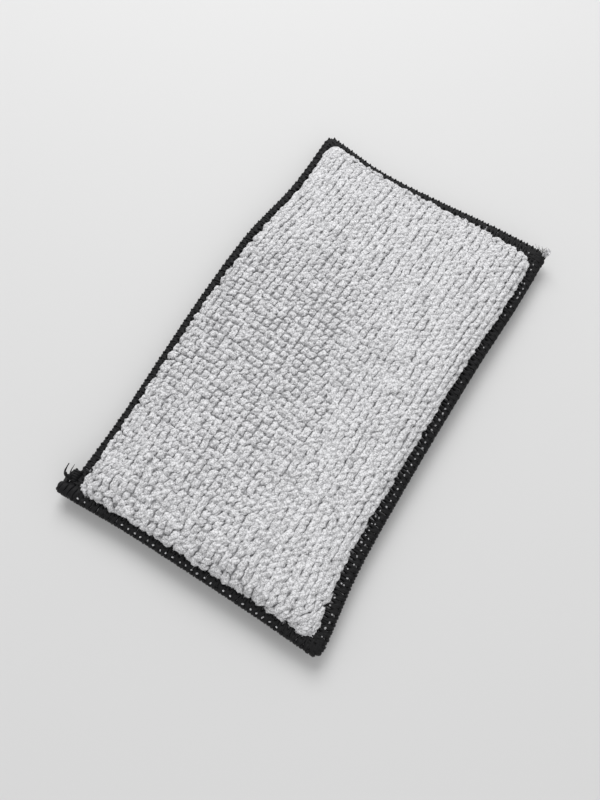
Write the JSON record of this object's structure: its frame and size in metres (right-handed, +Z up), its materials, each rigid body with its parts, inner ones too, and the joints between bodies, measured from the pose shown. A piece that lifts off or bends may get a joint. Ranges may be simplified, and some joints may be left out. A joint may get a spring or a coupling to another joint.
{
  "type": "microfibre scrub and polishing pad",
  "caption": "Rectangular double-sided terry polishing pad, soft and crowned, with a foam core and an overlocked seam round its edge.",
  "frame": {"origin": "middle of the pad's outline, on the surface it rests on", "axes": "+X along the pad's length, +Y across its width, +Z up through its thickness; the seam starts and ends at the -X, +Y corner"},
  "size_m": [0.1494, 0.0859, 0.015],
  "materials": {
    "terry_cloth": "light grey looped microfibre terry, matte",
    "foam": "open-cell polyurethane foam, matte",
    "seam_thread": "black textured polyester overlock thread, soft sheen"
  },
  "bodies": {
    "root": {"top_cloth": "terry_cloth", "bottom_cloth": "terry_cloth", "foam_core": "foam", "needle_thread": "seam_thread", "upper_looper_thread": "seam_thread", "lower_looper_thread": "seam_thread", "seam_start_tail": "seam_thread", "seam_end_tail": "seam_thread"}
  },
  "joints": []
}
